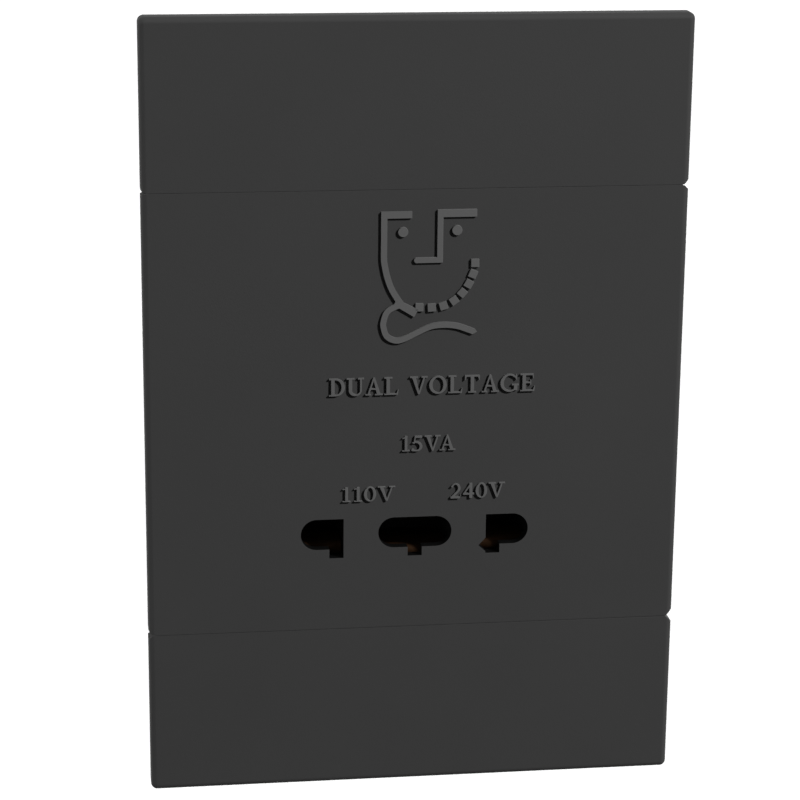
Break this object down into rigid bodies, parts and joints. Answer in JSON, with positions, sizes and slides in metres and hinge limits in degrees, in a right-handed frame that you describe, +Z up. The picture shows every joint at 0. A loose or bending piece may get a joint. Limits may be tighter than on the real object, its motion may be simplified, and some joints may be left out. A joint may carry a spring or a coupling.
{
  "type": "shaver socket",
  "caption": "Upright wall socket for shavers, with a flat grey plate, clip-on end covers, shaped pin openings and an isolating transformer in a deep housing behind.",
  "frame": {"origin": "middle of the plate's back, on the wall's face", "axes": "+X to the right as seen from the room, +Y into the wall, +Z up"},
  "size_m": [0.086, 0.046, 0.1262],
  "materials": {
    "plate_plastic": "satin, fine moulded grain",
    "housing_plastic": "matt moulded",
    "carrier_plastic": "matt moulded",
    "bobbin_plastic": "natural nylon",
    "contact_copper": "stamped copper alloy, tarnished",
    "terminal_brass": "machined",
    "winding_copper": "enamelled wire",
    "core_steel": "stacked sheet, varnished",
    "screw_steel": "zinc plated",
    "cutout_case": "moulded",
    "lead_brown": "insulated lead",
    "lead_blue": "insulated lead",
    "lead_white": "insulated lead"
  },
  "bodies": {
    "root": {"front_plate": "plate_plastic", "top_cover": "plate_plastic", "bottom_cover": "plate_plastic", "contact_carrier": "carrier_plastic", "carrier_screws": "screw_steel", "contact_left": "contact_copper", "contact_centre": "contact_copper", "contact_right": "contact_copper", "rear_housing": "housing_plastic", "housing_screws": "screw_steel", "lamination_stack": "core_steel", "coil_bobbin": "bobbin_plastic", "primary_coil": "winding_copper", "secondary_coil": "winding_copper", "transformer_screws": "screw_steel", "thermal_cutout": "cutout_case", "terminal_live": "terminal_brass", "terminal_earth": "terminal_brass", "terminal_neutral": "terminal_brass", "terminal_screws": "screw_steel", "primary_lead_live": "lead_brown", "primary_lead_coil": "lead_brown", "primary_lead_neutral": "lead_blue", "secondary_lead_left": "lead_white", "secondary_lead_centre": "lead_white", "secondary_lead_right": "lead_white"}
  },
  "joints": []
}
